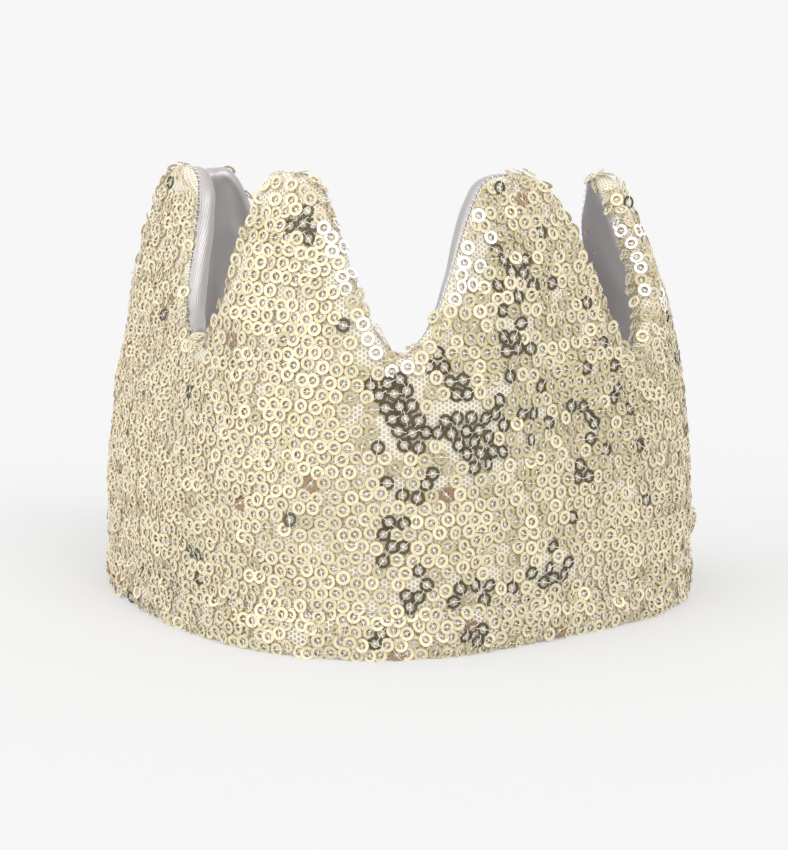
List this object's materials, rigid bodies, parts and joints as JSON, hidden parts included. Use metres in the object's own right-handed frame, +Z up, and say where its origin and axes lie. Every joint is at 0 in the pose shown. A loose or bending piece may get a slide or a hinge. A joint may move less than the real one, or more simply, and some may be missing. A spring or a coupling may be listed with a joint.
{
  "type": "soft dress-up crown",
  "caption": "Child's soft padded crown with rounded peaks, faced in sequinned net, lined in satin, with a sequinned hem band and a low gathered elastic back.",
  "frame": {"origin": "centre of the crown's bounding box, on the surface it stands on", "axes": "+Z up through the head opening, middle peak faces -Y, elastic back at +Y, +X to the wearer's left when worn facing -Y"},
  "size_m": [0.1709, 0.1618, 0.1251],
  "materials": {
    "sequin_net": "fine white net covered with small pale gold ring sequins",
    "wadding": "cream needled wadding",
    "satin": "silver-grey satin, soft sheen",
    "elastic": "white woven elastic",
    "thread": "cream sewing thread",
    "label": "blank white woven tape"
  },
  "bodies": {
    "shell": {"sequin_net_shell": "sequin_net", "wadding": "wadding", "satin_lining": "satin", "hem_band": "sequin_net", "hem_facing": "satin", "edge_thread": "thread", "hem_thread": "thread", "side_seam_left": "thread", "side_seam_right": "thread", "care_label": "label"},
    "back_band": {"back_casing_net": "sequin_net", "back_casing_satin": "satin", "back_elastic": "elastic"}
  },
  "joints": [
    {"name": "back_stretch", "type": "slide", "parent": "shell", "child": "back_band", "axis": [0, 1, 0], "range_m": [0, 0.02], "stiffness_N_per_m": 60}
  ]
}
